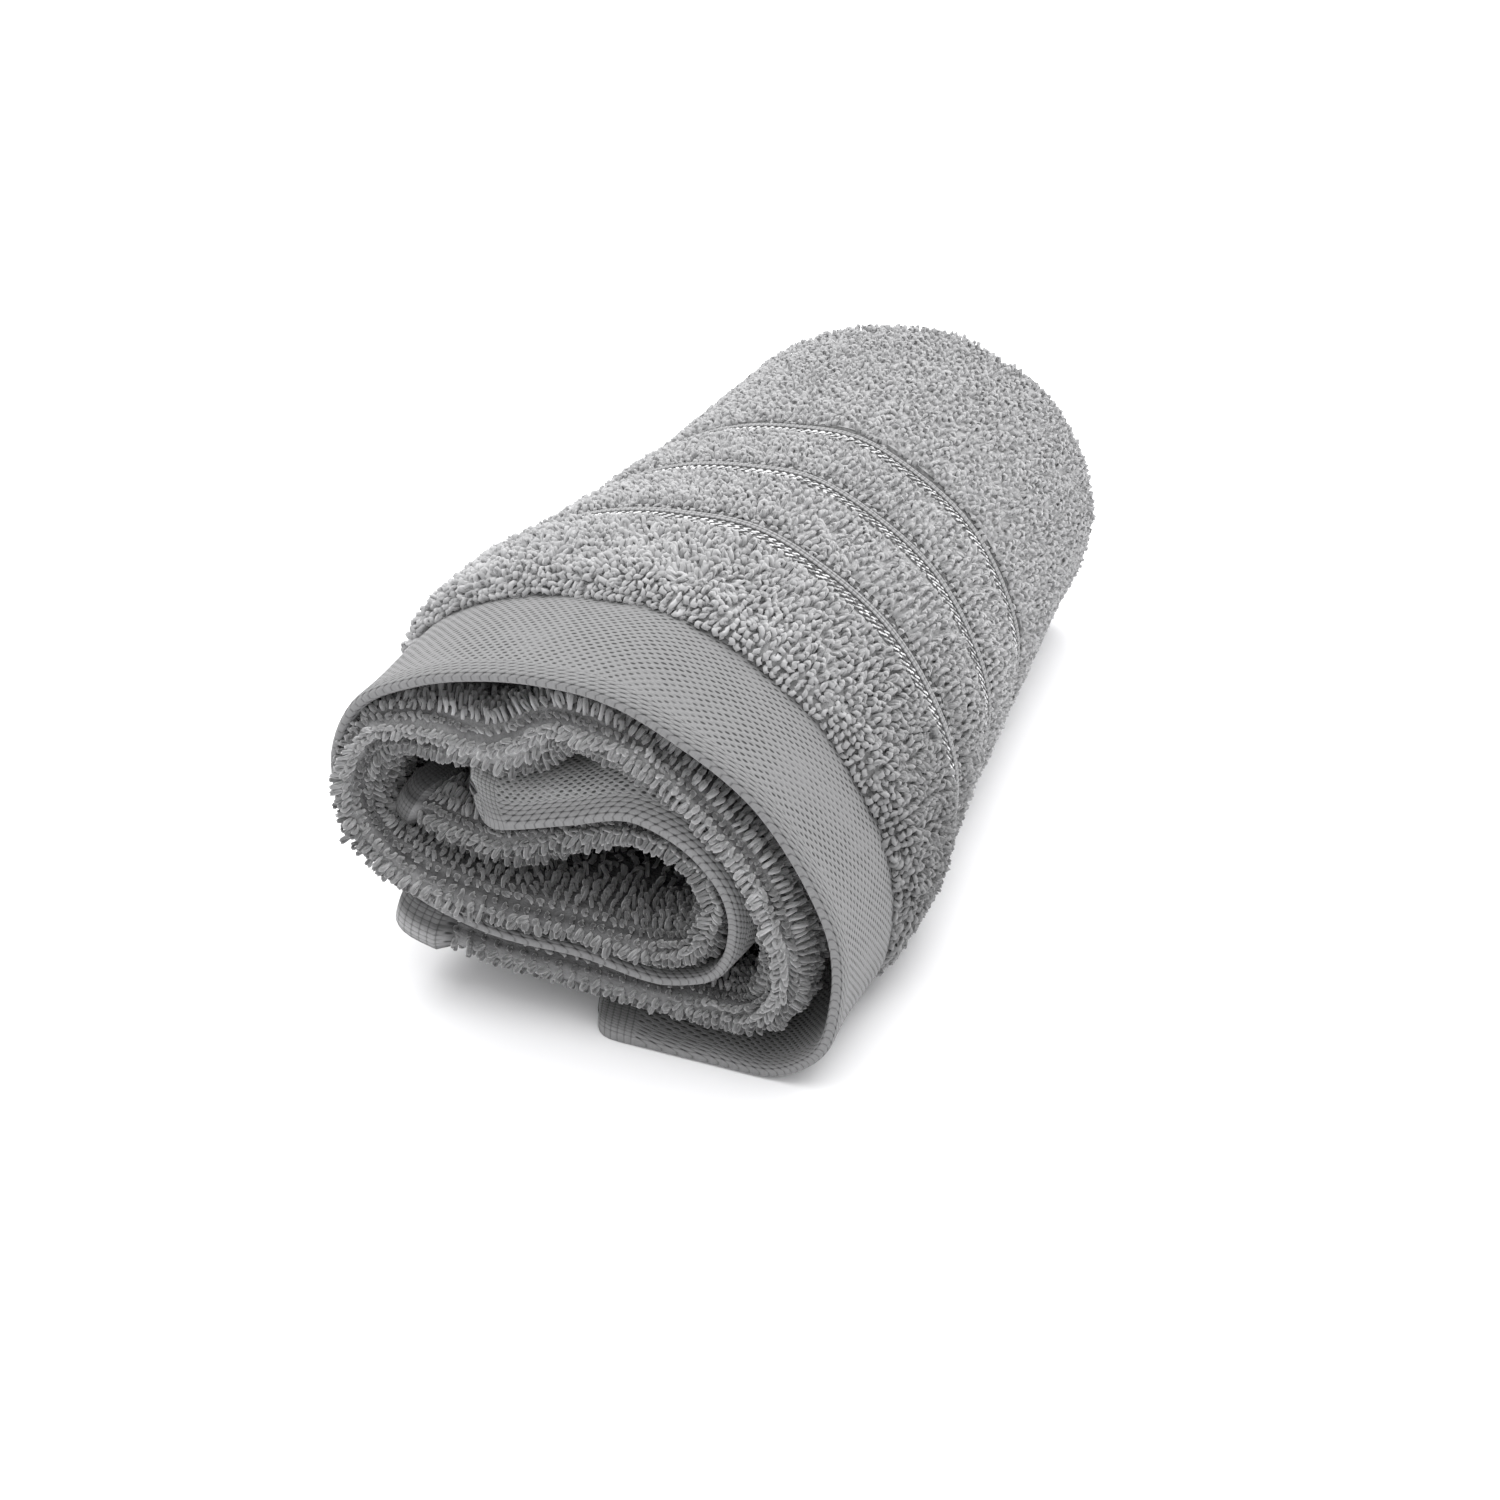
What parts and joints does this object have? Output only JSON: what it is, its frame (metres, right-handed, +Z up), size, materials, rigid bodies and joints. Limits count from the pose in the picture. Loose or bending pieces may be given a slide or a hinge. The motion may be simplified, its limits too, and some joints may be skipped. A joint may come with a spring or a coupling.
{
  "type": "rolled hand towel",
  "caption": "Terry hand towel folded in thirds and rolled up, lying pressed flat, with a flat-woven hem and woven stripes near one end.",
  "frame": {"origin": "on the surface it rests on, below the middle of the towel's bounding box", "axes": "+Z up, Y along the roll with the hem's edge towards -Y, X across the roll"},
  "size_m": [0.1236, 0.259, 0.0944],
  "materials": {
    "cotton": "mid grey cotton terry, dull and soft, with a flat-woven hem and shiny woven stripes"
  },
  "bodies": {
    "root": {"towel": "cotton"}
  },
  "joints": []
}
